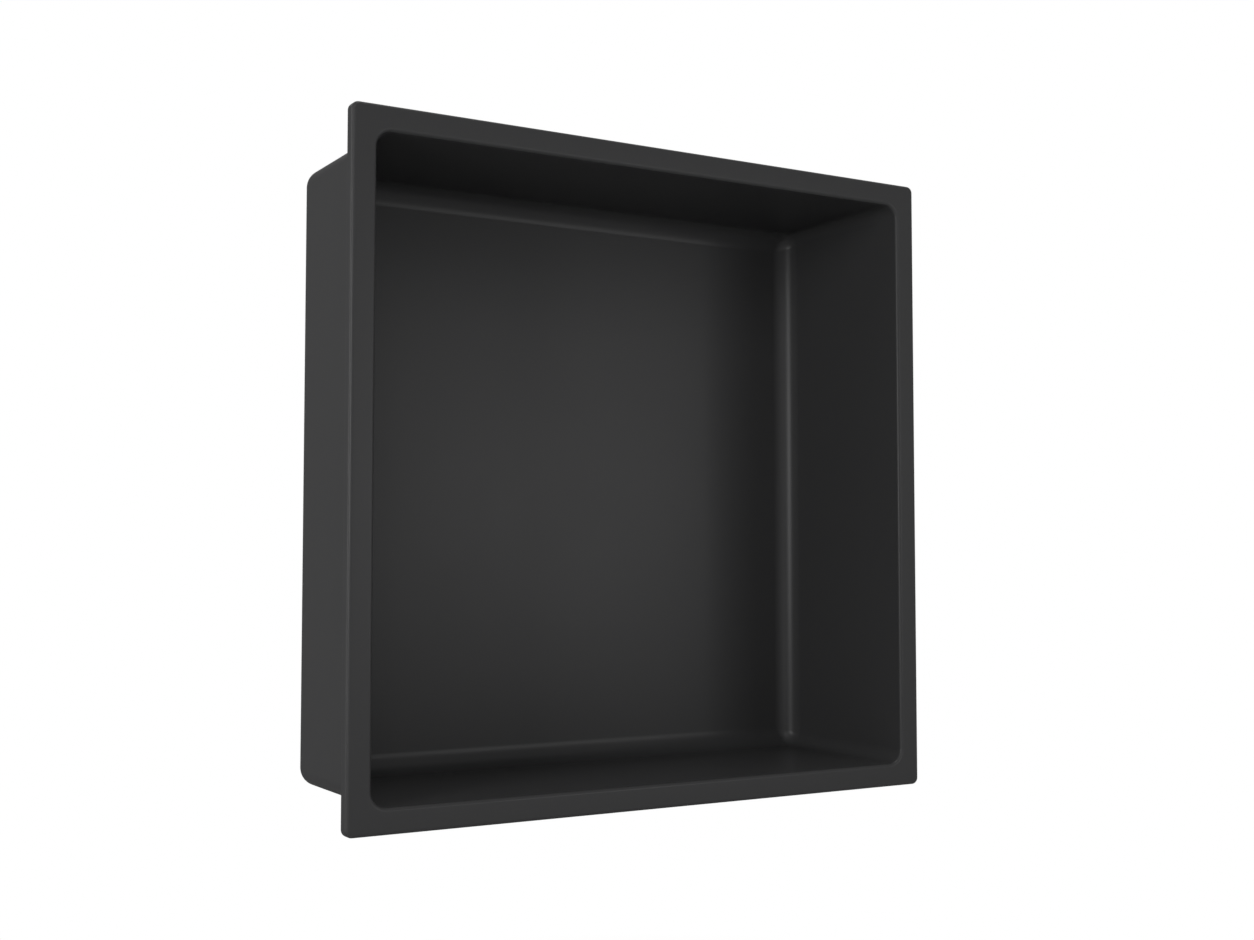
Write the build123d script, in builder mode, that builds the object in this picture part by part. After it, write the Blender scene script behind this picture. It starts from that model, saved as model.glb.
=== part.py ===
"""Shower niche insert: one folded and welded sheet-steel tray with a square flange.

Millimetres, +Z up, -Y towards the person using it, +Y into the wall.
The origin is the centre of the opening, on the tiled wall's surface (y = 0).
"""
import os

from build123d import *

# Driving dimensions
OPENING = 300.0        # clear width and height between the walls
FLANGE = 12.0          # width of the flange around the opening
SHEET = 1.2            # thickness of the steel sheet
DEPTH = 100.0          # flange face to the outside of the back panel
LIP = 6.0              # flange face to the rear edge of its folded lip, which meets the tiles
CORNER = 7.5           # inside radius of the opening's corners, kept where wall meets wall
BEND = 11.0            # inside radius where walls and back panel meet
FOLD = 0.6             # inside radius of the tight folds at the flange
FLANGE_CORNER = 3.5    # corner radius of the flange seen from the front

# Derived from them
FRONT = -LIP                           # y of the flange face
BACK = FRONT + DEPTH                   # y of the back panel's outer face
OUTER = OPENING + 2 * FLANGE           # flange, edge to edge
TRAY = OPENING + 2 * SHEET             # tray, outside to outside
FOLD_OUT = FOLD + SHEET                # outside radius of the tight folds
CORNER_OUT = CORNER + SHEET            # outside radius where wall meets wall
BEND_OUT = BEND + SHEET                # outside radius of the round bends
CHANNEL = OUTER - 2 * SHEET            # hollow behind the flange, inside the lip
TOL = 0.01


def at_y(y):
    """Sketch plane square to the wall's normal at depth y, drawing towards +Y."""
    return Plane(origin=(0, y, 0), x_dir=(-1, 0, 0), z_dir=(0, 1, 0))


def edges_at(part, y):
    """The edges that lie in the plane at depth y."""
    return part.edges().filter_by_position(Axis.Y, y - TOL, y + TOL)


# Tray before hollowing: a block with rounded corners, and round bends all around the back
with BuildPart() as tray:
    with BuildSketch(at_y(FRONT)):
        RectangleRounded(TRAY, TRAY, CORNER_OUT)
    extrude(amount=DEPTH)
    fillet(edges_at(tray, BACK), BEND_OUT)

# The recess: the same shape one sheet thickness inside
with BuildPart() as recess:
    with BuildSketch(at_y(FRONT)):
        RectangleRounded(OPENING, OPENING, CORNER)
    extrude(amount=DEPTH - SHEET)
    fillet(edges_at(recess, BACK - SHEET), BEND)

with BuildPart() as niche:
    # Flange and lip as one shallow block, front outer edge rolled over
    with BuildSketch(at_y(FRONT)):
        RectangleRounded(OUTER, OUTER, FLANGE_CORNER)
    extrude(amount=LIP)
    fillet(niche.faces().sort_by(Axis.Y)[0].edges(), FOLD_OUT)

    # Hollow behind the flange, open towards the wall
    with BuildSketch(at_y(FRONT + SHEET)):
        RectangleRounded(CHANNEL, CHANNEL, FLANGE_CORNER - SHEET)
    extrude(amount=LIP - SHEET, mode=Mode.SUBTRACT)
    fillet(edges_at(niche, FRONT + SHEET), FOLD)

    # Tray, tight fold where its walls leave the flange
    add(tray.part)
    root = edges_at(niche, FRONT + SHEET)
    root = root.filter_by(lambda e: max(abs(e.center().X), abs(e.center().Z)) < TRAY / 2 + TOL)
    fillet(root, FOLD)

    # Recess, and the rounded edge of the opening
    add(recess.part, mode=Mode.SUBTRACT)
    rim = edges_at(niche, FRONT)
    rim = rim.filter_by(lambda e: max(abs(e.center().X), abs(e.center().Z)) < OPENING / 2 + TOL)
    fillet(rim, FOLD_OUT)

niche.part.label = "niche_insert"
os.makedirs("parts", exist_ok=True)
export_step(niche.part, "parts/niche_insert.step")

box = niche.part.bounding_box()
print("size", [round(v, 3) for v in box.size], "volume", round(niche.part.volume, 1))
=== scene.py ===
# %% [markdown]
# # A matt black shower niche insert
#
# A niche insert is a shallow square tray of sheet steel that is let into a tiled wall as a shelf for bottles.
# Its rim is folded outwards into a narrow flange that hides the cut edge of the tiles, and the whole tray is
# powder coated. The imported model gives the exact place and size, in metres, so it is loaded first, and its
# box gives the sizes of the sheet below.

# %% Load the imported model
import math

import bmesh
import bpy
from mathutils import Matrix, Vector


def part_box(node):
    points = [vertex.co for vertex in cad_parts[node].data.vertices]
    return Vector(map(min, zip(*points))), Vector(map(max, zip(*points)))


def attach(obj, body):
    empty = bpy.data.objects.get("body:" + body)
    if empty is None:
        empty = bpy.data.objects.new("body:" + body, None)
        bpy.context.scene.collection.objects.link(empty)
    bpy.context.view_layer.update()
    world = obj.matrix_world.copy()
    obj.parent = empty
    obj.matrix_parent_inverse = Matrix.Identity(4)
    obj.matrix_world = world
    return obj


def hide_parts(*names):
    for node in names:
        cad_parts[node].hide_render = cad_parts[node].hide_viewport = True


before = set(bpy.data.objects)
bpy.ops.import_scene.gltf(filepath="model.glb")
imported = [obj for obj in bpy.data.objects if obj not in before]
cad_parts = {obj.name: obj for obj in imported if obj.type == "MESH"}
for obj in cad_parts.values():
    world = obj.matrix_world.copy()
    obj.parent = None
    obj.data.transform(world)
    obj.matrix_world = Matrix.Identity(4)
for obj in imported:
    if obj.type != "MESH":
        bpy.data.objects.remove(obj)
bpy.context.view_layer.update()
NODE = "niche_insert"
MM = 0.001
low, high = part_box(NODE)
print("packed box in mm:", [round(v / MM, 1) for v in (*low, *high)])

# %% [markdown]
# ## The sheet's section
#
# Cut the tray with a saw, straight back through the middle of one wall, and the cut shows one strip of sheet
# that runs from the back panel along the wall to the front, turns out into the flange and turns back into a
# short lip. We draw that strip's outline as a polyline of sharp corners, and give each corner the radius of
# the bend that the press brake leaves there. A curve point in Blender carries a radius of its own, so the
# radius travels with the point and the rounding itself can be left to a node.

# %% Sizes of the sheet and its bends
FLANGE = 12 * MM          # width of the flange around the opening
SHEET = 1.2 * MM          # thickness of the sheet
CORNER = 7.5 * MM         # inside radius of the opening's corners, kept where wall meets wall
BEND = 11 * MM            # inside radius of the bends between walls and back panel
FOLD = 0.6 * MM           # inside radius of the tight folds at the flange
FLANGE_CORNER = 3.5 * MM  # corner radius of the flange, seen from the front
CUT_EDGE = 0.25 * MM      # the coat rounds the cut edge of the sheet by this much

front, back = low.y, high.y
wall_line = 0.0                       # the tiles, where the lip ends
outer = high.x                        # half-sizes: flange, opening, tray outside, hollow behind the flange
opening = outer - FLANGE
tray = opening + SHEET
hollow = outer - SHEET
print("opening", round(2 * opening / MM, 1), "mm, depth", round((back - front) / MM, 1), "mm")

# %% Draw the section: distance from the middle, depth, bend radius
tray_square = opening - BEND          # the flat back panel ends here
bend_from = back - SHEET - BEND       # and the walls start to bend here
flange_square = outer - FLANGE_CORNER
section = [
    (tray_square, back - SHEET, 0),
    (opening, back - SHEET, BEND),
    (opening, front, FOLD + SHEET),
    (outer, front, FOLD + SHEET),
    (outer, wall_line, CUT_EDGE),
    (hollow, wall_line, CUT_EDGE),
    (hollow, front + SHEET, FOLD),
    (tray, front + SHEET, FOLD),
    (tray, back, BEND + SHEET),
    (tray_square, back, 0),
]
strip = bpy.data.curves.new("sheet_section", "CURVE")
strip.dimensions = "3D"
line = strip.splines.new("POLY")
line.points.add(len(section) - 1)
for point, (out, depth, radius) in zip(line.points, section):
    point.co = (out, depth, 0, 1)
    point.radius = radius
section_curve = bpy.data.objects.new("sheet_section", strip)
bpy.context.collection.objects.link(section_curve)
print("section corners:", len(section))

# %% [markdown]
# ## A lathe that turns square corners
#
# A lathe sends every point of a section round a circle. This tray needs the same idea with a square: each
# point of the section goes round a square whose corners are rounded. The squares of the tray grow from one
# sharp square, the flat of the back panel. As the bend turns from the panel to the wall, the corner opens
# from nothing to its full radius, which makes the ball-shaped corners at the back by itself. The corners
# between the walls are tighter than the bends, so the middle of the corner's arc slides outwards on the
# way, by the sine of the bend's angle. The flange grows from a larger sharp square.
#
# Geometry Nodes suit such a rule: a grid has one row for each point of the rounded section and one column
# for each step round the square, and Set Position moves every grid point to its place. The sizes are inputs
# of the tree, so the same tree makes a tray of any size.

# %% Helpers for building node trees
def add_node(tree, kind, **settings):
    """A new node with the given settings."""
    node = tree.nodes.new(kind)
    for name, value in settings.items():
        setattr(node, name, value)
    return node


def feed(tree, socket, value):
    """Links an output to a socket, or sets a plain value on it."""
    if isinstance(value, bpy.types.NodeSocket):
        tree.links.new(value, socket)
    else:
        socket.default_value = value


def math_node(tree, operation, *values):
    """The output of a Math node with these inputs."""
    node = add_node(tree, "ShaderNodeMath", operation=operation)
    for socket, value in zip(node.inputs, values):
        feed(tree, socket, value)
    return node.outputs[0]


def make(tree, kind, settings, output=0, **inputs):
    """One output of a new node, with its inputs given by name."""
    node = add_node(tree, kind, **settings)
    for name, value in inputs.items():
        feed(tree, node.inputs[name.replace("_", " ")], value)
    return node.outputs[output]


# %% The tree: inputs, rounded section, grid
lathe = bpy.data.node_groups.new("square_lathe", "GeometryNodeTree")
face = lathe.interface
face.new_socket("Section", in_out="INPUT", socket_type="NodeSocketGeometry")
sizes = {}
for name in ("Tray Square", "Bend From", "Corner Slide", "Flange Square", "Flange From"):
    sizes[name] = face.new_socket(name, in_out="INPUT", socket_type="NodeSocketFloat")
sizes["Corner Steps"] = face.new_socket("Corner Steps", in_out="INPUT", socket_type="NodeSocketInt")
sizes["Coat"] = face.new_socket("Coat", in_out="INPUT", socket_type="NodeSocketMaterial")
face.new_socket("Tray", in_out="OUTPUT", socket_type="NodeSocketGeometry")
given = add_node(lathe, "NodeGroupInput").outputs

bend_radius = make(lathe, "GeometryNodeInputRadius", {})
bend_steps = math_node(lathe, "ROUND", math_node(lathe, "MULTIPLY_ADD", bend_radius, 1200, 4))
rounded = make(lathe, "GeometryNodeFilletCurve", {"mode": "POLY"},
               Curve=given["Section"], Radius=bend_radius, Count=bend_steps)
section_points = make(lathe, "GeometryNodeAttributeDomainSize", {"component": "CURVE"}, Geometry=rounded)
corner_points = math_node(lathe, "ADD", given["Corner Steps"], 1)
columns = math_node(lathe, "MULTIPLY", corner_points, 4)
columns_closed = math_node(lathe, "ADD", columns, 1)
grid = make(lathe, "GeometryNodeMeshGrid", {}, Vertices_X=section_points, Vertices_Y=columns_closed)
print("tree inputs:", ", ".join(sizes))

# %% The tree: send each grid point round its square
index = make(lathe, "GeometryNodeInputIndex", {})


def whole_times(number, size):
    """How many times size goes into number, and what is left over."""
    share = math_node(lathe, "DIVIDE", math_node(lathe, "ADD", number, 0.5), size)
    times = math_node(lathe, "FLOOR", share)
    rest = math_node(lathe, "SUBTRACT", number, math_node(lathe, "MULTIPLY", times, size))
    return times, rest


row, along_row = whole_times(index, columns_closed)
column = math_node(lathe, "MODULO", along_row, columns)
quarter, step = whole_times(column, corner_points)
turn = math_node(lathe, "ADD", quarter, math_node(lathe, "DIVIDE", step, given["Corner Steps"]))
angle = math_node(lathe, "MULTIPLY", turn, math.pi / 2)
diagonal = math_node(lathe, "MULTIPLY", math_node(lathe, "ADD", quarter, 0.5), math.pi / 2)

place = make(lathe, "GeometryNodeInputPosition", {})
on_section = make(lathe, "GeometryNodeSampleIndex", {"data_type": "FLOAT_VECTOR", "domain": "POINT"},
                  Geometry=rounded, Value=place, Index=row)
split = add_node(lathe, "ShaderNodeSeparateXYZ")
feed(lathe, split.inputs[0], on_section)
out, depth = split.outputs["X"], split.outputs["Y"]
reach = math_node(lathe, "SUBTRACT", out, given["Tray Square"])
lean = math_node(lathe, "MAXIMUM", math_node(lathe, "SUBTRACT", depth, given["Bend From"]), 0)
span = math_node(lathe, "SQRT", math_node(lathe, "MULTIPLY_ADD", reach, reach,
                                          math_node(lathe, "MULTIPLY", lean, lean)))
slide = math_node(lathe, "MULTIPLY", math_node(lathe, "DIVIDE", reach, span), given["Corner Slide"])
on_flange = math_node(lathe, "GREATER_THAN", out, given["Flange From"])
middle = make(lathe, "ShaderNodeMix", {"data_type": "FLOAT"}, Factor=on_flange,
              A=math_node(lathe, "ADD", given["Tray Square"], slide), B=given["Flange Square"])
corner = math_node(lathe, "SUBTRACT", out, middle)


def round_the_square(wave):
    """Across or up: the middle of the corner on this diagonal, plus the corner's arc."""
    side = math_node(lathe, "SIGN", math_node(lathe, wave, diagonal))
    return math_node(lathe, "MULTIPLY_ADD", math_node(lathe, wave, angle), corner,
                     math_node(lathe, "MULTIPLY", side, middle))


there = make(lathe, "ShaderNodeCombineXYZ", {},
             X=round_the_square("COSINE"), Y=depth, Z=round_the_square("SINE"))
walls = make(lathe, "GeometryNodeSetPosition", {}, Geometry=grid, Position=there)
print("nodes so far:", len(lathe.nodes))

# %% The tree: back panel, inside and outside, and one closed skin
panel_side = math_node(lathe, "MULTIPLY", given["Tray Square"], 2)
parts = add_node(lathe, "GeometryNodeJoinGeometry")
lathe.links.new(walls, parts.inputs[0])
last_point = math_node(lathe, "SUBTRACT", section_points, 1)
for at_point, facing in ((0, 1), (last_point, -1)):
    end = add_node(lathe, "ShaderNodeSeparateXYZ")
    feed(lathe, end.inputs[0], make(lathe, "GeometryNodeSampleIndex",
                                    {"data_type": "FLOAT_VECTOR", "domain": "POINT"},
                                    Geometry=rounded, Value=place, Index=at_point))
    flat = make(lathe, "GeometryNodeMeshGrid", {},
                Size_X=panel_side, Size_Y=panel_side, Vertices_X=2, Vertices_Y=2)
    stood_up = make(lathe, "GeometryNodeTransform", {}, Geometry=flat,
                    Translation=make(lathe, "ShaderNodeCombineXYZ", {}, Y=end.outputs["Y"]),
                    Rotation=(facing * math.pi / 2, 0, 0))
    lathe.links.new(stood_up, parts.inputs[0])
welded = make(lathe, "GeometryNodeMergeByDistance", {}, Geometry=parts.outputs[0], Distance=0.001 * MM)
smooth = make(lathe, "GeometryNodeSetShadeSmooth", {}, Geometry=welded)
real = make(lathe, "GeometryNodeRealizeInstances", {}, Geometry=smooth)
coated = make(lathe, "GeometryNodeSetMaterial", {}, Geometry=real, Material=given["Coat"])
lathe.links.new(coated, add_node(lathe, "NodeGroupOutput").inputs[0])
print("nodes in the tree:", len(lathe.nodes))

# %% [markdown]
# ## The powder coat
#
# Powder coat is paint that is sprayed on as dry powder and melted in an oven. A matt black one reflects only
# two or three percent of the light, and its gloss is broad and soft. It never dries dead flat: it keeps a
# gentle orange-peel ripple of about two millimetres and a fine grain, which two noise patterns give as bump.
# A wide, faint noise varies the gloss, as an uneven film does. All three read Object coordinates, so they
# stay on the tray from every side.

# %% Powder coat material
COAT_COLOUR = (0.0240, 0.0240, 0.0245, 1)
COAT_COLOUR_THIN = (0.0270, 0.0270, 0.0275, 1)
COAT_GLOSS = 0.09                    # specular level of the matt coat
COAT_ROUGHNESS = (0.32, 0.36)
PEEL_SIZE, PEEL_HEIGHT = 2.2 * MM, 0.006 * MM
GRAIN_SIZE, GRAIN_HEIGHT = 0.45 * MM, 0.003 * MM
FILM_SIZE = 60 * MM


def noise(tree, coordinates, size, detail):
    """A noise pattern whose lumps are about this size."""
    return make(tree, "ShaderNodeTexNoise", {"noise_dimensions": "3D"},
                Vector=coordinates, Scale=1 / size, Detail=detail)


def bump(tree, height, distance, under=None):
    """A bump of this height, on top of another if one is given."""
    inputs = {"Height": height, "Distance": distance}
    if under is not None:
        inputs["Normal"] = under
    return make(tree, "ShaderNodeBump", {}, **inputs)


def coat_colour(tree, factor):
    """Between the full and the thin coat's colour."""
    mix = add_node(tree, "ShaderNodeMix", data_type="RGBA")
    feed(tree, mix.inputs[0], factor)
    mix.inputs[6].default_value = COAT_COLOUR
    mix.inputs[7].default_value = COAT_COLOUR_THIN
    return mix.outputs[2]


def powder_coat():
    """Matt black powder coat with orange peel, grain and a slightly uneven film."""
    material = bpy.data.materials.new("black_powder_coat")
    material.use_nodes = True
    tree = material.node_tree
    shader = tree.nodes["Principled BSDF"]
    where = add_node(tree, "ShaderNodeTexCoord").outputs["Object"]
    film = noise(tree, where, FILM_SIZE, 3)
    peel = noise(tree, where, PEEL_SIZE, 1)
    grain = noise(tree, where, GRAIN_SIZE, 2)
    feed(tree, shader.inputs["Roughness"], make(
        tree, "ShaderNodeMapRange", {}, Value=film, To_Min=COAT_ROUGHNESS[0], To_Max=COAT_ROUGHNESS[1]))
    feed(tree, shader.inputs["Base Color"], coat_colour(tree, grain))
    feed(tree, shader.inputs["Normal"], bump(tree, grain, GRAIN_HEIGHT, bump(tree, peel, PEEL_HEIGHT)))
    shader.inputs["Specular IOR Level"].default_value = COAT_GLOSS
    return material


coat = powder_coat()
print("coat nodes:", len(coat.node_tree.nodes))

# %% [markdown]
# ## From nodes to a plain mesh
#
# The modifier's inputs are set by socket identifier before the object is first evaluated. A Weighted Normal
# modifier then leans the shading towards the large flat faces, so walls and flange stay flat right up to
# their bends. The result becomes a plain mesh, which stands for the imported node. A closed mesh encloses a
# volume, and its sign, printed here, shows whether the faces point outwards.

# %% Evaluate, convert, hand over
CORNER_STEPS = 12
values = {"Tray Square": tray_square, "Bend From": bend_from, "Corner Slide": BEND - CORNER,
          "Flange Square": flange_square, "Flange From": outer - FLANGE / 2,
          "Corner Steps": CORNER_STEPS, "Coat": coat}
turning = section_curve.modifiers.new("square_lathe", "NODES")
turning.node_group = lathe
for name, value in values.items():
    turning[sizes[name].identifier] = value
evaluated = section_curve.evaluated_get(bpy.context.evaluated_depsgraph_get())
skin = bpy.data.meshes.new_from_object(evaluated)
bpy.data.objects.remove(section_curve)

niche = bpy.data.objects.new("folded_tray", skin)
bpy.context.collection.objects.link(niche)
niche.modifiers.new("flat_faces_first", "WEIGHTED_NORMAL")
shaded = niche.evaluated_get(bpy.context.evaluated_depsgraph_get())
niche.data = bpy.data.meshes.new_from_object(shaded)
niche.modifiers.clear()
niche.data.materials.pop(index=0)     # the empty slot that a primitive node brings along
niche.data.name = niche.name
bpy.data.meshes.remove(skin)

solid = bmesh.new()
solid.from_mesh(niche.data)
open_edges = sum(len(edge.link_faces) != 2 for edge in solid.edges)
volume = solid.calc_volume(signed=True)
print(len(solid.faces), "faces,", open_edges, "open edges, volume", round(volume * 1e6, 1), "cm3")
solid.free()
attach(niche, "root")
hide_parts(NODE)

# %% [markdown]
# ## Floor and background
#
# The tray hangs in its wall, so the floor lies some way below it. Both floor and world are white to the
# camera and in reflections, which Light Path tells apart from the light that falls on the tray. Under the
# tray the floor keeps its own colour and the shadow, and further out it goes over to plain white. A faint
# glow from all round keeps the unlit sides readable.

# %% White for camera, gloss and glass
FLOOR_DROP = 0.2
FLOOR_SIDE = 40
FLOOR_COLOUR = (0.8, 0.8, 0.8, 1)
FLOOR_WHITE = 0.45                    # share of plain white under the tray
SHADE_NEAR, SHADE_FAR = 0.45, 0.7     # distances between which the floor goes over to plain white
WORLD_GLOW = 0.05
WHITE = (1, 1, 1, 1)


def seen_directly(tree):
    """1 for camera, glossy and transmission rays, 0 for rays that carry light to a matt surface."""
    path = add_node(tree, "ShaderNodeLightPath").outputs
    glossy = math_node(tree, "MAXIMUM", path["Is Camera Ray"], path["Is Glossy Ray"])
    return math_node(tree, "MAXIMUM", glossy, path["Is Transmission Ray"])


world = bpy.data.worlds.new("white_studio")
bpy.context.scene.world = world
world.use_nodes = True
tree = world.node_tree
glow = tree.nodes["Background"]
glow.inputs["Color"].default_value = WHITE
glow.inputs["Strength"].default_value = WORLD_GLOW
plain = add_node(tree, "ShaderNodeBackground")
plain.inputs["Color"].default_value = WHITE
plain.inputs["Strength"].default_value = 1
choose = add_node(tree, "ShaderNodeMixShader")
feed(tree, choose.inputs[0], seen_directly(tree))
feed(tree, choose.inputs[1], glow.outputs[0])
feed(tree, choose.inputs[2], plain.outputs[0])
feed(tree, tree.nodes["World Output"].inputs["Surface"], choose.outputs[0])
print("world glow", WORLD_GLOW)

# %% Pale floor that keeps a shadow
floor_coat = bpy.data.materials.new("pale_floor")
floor_coat.use_nodes = True
tree = floor_coat.node_tree
matt = tree.nodes["Principled BSDF"]
matt.inputs["Base Color"].default_value = FLOOR_COLOUR
matt.inputs["Roughness"].default_value = 1
matt.inputs["Specular IOR Level"].default_value = 0
white = add_node(tree, "ShaderNodeEmission")
white.inputs["Color"].default_value = WHITE
white.inputs["Strength"].default_value = 1
away = add_node(tree, "ShaderNodeVectorMath", operation="LENGTH")
feed(tree, away.inputs[0], add_node(tree, "ShaderNodeTexCoord").outputs["Object"])
whiteness = make(tree, "ShaderNodeMapRange", {"interpolation_type": "SMOOTHSTEP"},
                 Value=away.outputs["Value"], From_Min=SHADE_NEAR, From_Max=SHADE_FAR,
                 To_Min=FLOOR_WHITE, To_Max=1)
fade = add_node(tree, "ShaderNodeMixShader")
feed(tree, fade.inputs[0], math_node(tree, "MULTIPLY", seen_directly(tree), whiteness))
feed(tree, fade.inputs[1], matt.outputs[0])
feed(tree, fade.inputs[2], white.outputs[0])
feed(tree, tree.nodes["Material Output"].inputs["Surface"], fade.outputs[0])

half_floor = FLOOR_SIDE / 2
level = low.z - FLOOR_DROP
sheet = bpy.data.meshes.new("floor")
sheet.from_pydata([(-half_floor, -half_floor, level), (half_floor, -half_floor, level),
                   (half_floor, half_floor, level), (-half_floor, half_floor, level)], [], [(0, 1, 2, 3)])
sheet.materials.append(floor_coat)
floor = bpy.data.objects.new("floor", sheet)
bpy.context.collection.objects.link(floor)
print("floor at", round(level, 3), "m")

# %% [markdown]
# ## Card and softboxes
#
# Seen almost edge-on, even matt paint mirrors what stands behind it, and white there would wash out the
# outer edges of the left wall. A grey card with a foot stands behind the tray to hold those edges. Only
# reflections see it: not the camera, and not the light.
#
# The light comes from softboxes that all stand equally far away. The key lamp, far to the left, draws the
# line of light down the right-hand bend and along the folds. One on the right leaves a soft shine in the
# middle of the back panel. The others light the left wall, the floor of the niche and its top. The one for
# the left wall is the largest, because a small bright lamp there would glare on the outside of the top.

# %% Grey card behind the left wall
CARD_TURN = math.radians(8)
CARD_AWAY, CARD_HALF, CARD_TOP = 0.55, 0.65, 0.5
CARD_GREY = 0.13

card_coat = bpy.data.materials.new("grey_card")
card_coat.use_nodes = True
tree = card_coat.node_tree
grey = add_node(tree, "ShaderNodeEmission")
grey.inputs["Color"].default_value = WHITE
grey.inputs["Strength"].default_value = CARD_GREY
feed(tree, tree.nodes["Material Output"].inputs["Surface"], grey.outputs[0])

across, along = math.cos(CARD_TURN) * CARD_HALF, math.sin(CARD_TURN) * CARD_HALF
card_x = -tray - math.sin(CARD_TURN) * CARD_AWAY
card_y = back / 2 + math.cos(CARD_TURN) * CARD_AWAY
board = bpy.data.meshes.new("grey_card")
foot = level + MM
board.from_pydata([(card_x - across, card_y - along, foot), (card_x + across, card_y + along, foot),
                   (card_x + across, card_y + along, CARD_TOP), (card_x - across, card_y - along, CARD_TOP),
                   (card_x - across, front, foot), (card_x + across, front, foot)],
                  [], [(0, 1, 2, 3), (0, 4, 5, 1)])
board.materials.append(card_coat)
card = bpy.data.objects.new("grey_card", board)
card.visible_camera = False
card.visible_diffuse = False
card.visible_shadow = False
bpy.context.collection.objects.link(card)
print("card", round(2 * CARD_HALF, 2), "m wide")

# %% Softboxes
SOFTBOX_AWAY = 1.6
SOFTBOXES = {                         # degrees to the left of straight ahead, degrees up, side in m, watts
    "key": (65, 5, 0.5, 15.8),
    "panel_shine": (-27.5, 2.8, 0.5, 5.5),
    "side": (118, 8, 1.0, 14.5),
    "upper_fill": (25, 30, 0.5, 5),
    "lower_fill": (25, -10, 0.5, 2.4),
    "top": (0, 80, 0.5, 9.6),
}


def softbox(name, left, up, side, power):
    """A square area lamp that looks at the middle of the tray."""
    left, up = math.radians(left), math.radians(up)
    lamp = bpy.data.lights.new(name, "AREA")
    lamp.shape = "SQUARE"
    lamp.size = side
    lamp.energy = power
    box = bpy.data.objects.new(name, lamp)
    box.location = (-SOFTBOX_AWAY * math.sin(left) * math.cos(up),
                    -SOFTBOX_AWAY * math.cos(left) * math.cos(up), SOFTBOX_AWAY * math.sin(up))
    box.rotation_euler = (-box.location).to_track_quat("-Z", "Y").to_euler()
    bpy.context.collection.objects.link(box)


for name, (left, up, side, power) in SOFTBOXES.items():
    softbox(name + "_softbox", left, up, side, power)
print("softboxes:", ", ".join(SOFTBOXES))

# %% [markdown]
# ## Camera
#
# The camera stands to the left of the niche, a little below its middle, and looks up slightly, so the
# upright edges draw together a little towards the top. It aims at the middle of the tray with a lens that
# isn't shifted, so the tray stays in the middle from other sides too.

# %% Camera
PHOTO_WIDTH = 1254
CAMERA_PLACE = (-0.4097, -0.6565, -0.0397)
CAMERA_TURN = math.radians(30.89)
CAMERA_UP = math.radians(3.12)
FOCAL_PIXELS = 1572

lens = bpy.data.cameras.new("camera")
lens.sensor_width = 36
lens.lens = lens.sensor_width * FOCAL_PIXELS / PHOTO_WIDTH
camera = bpy.data.objects.new("camera", lens)
camera.location = CAMERA_PLACE
camera.rotation_euler = (math.pi / 2 + CAMERA_UP, 0, -CAMERA_TURN)
bpy.context.collection.objects.link(camera)
bpy.context.scene.camera = camera
bpy.context.scene.view_settings.view_transform = "Standard"
print("lens", round(lens.lens, 2), "mm")
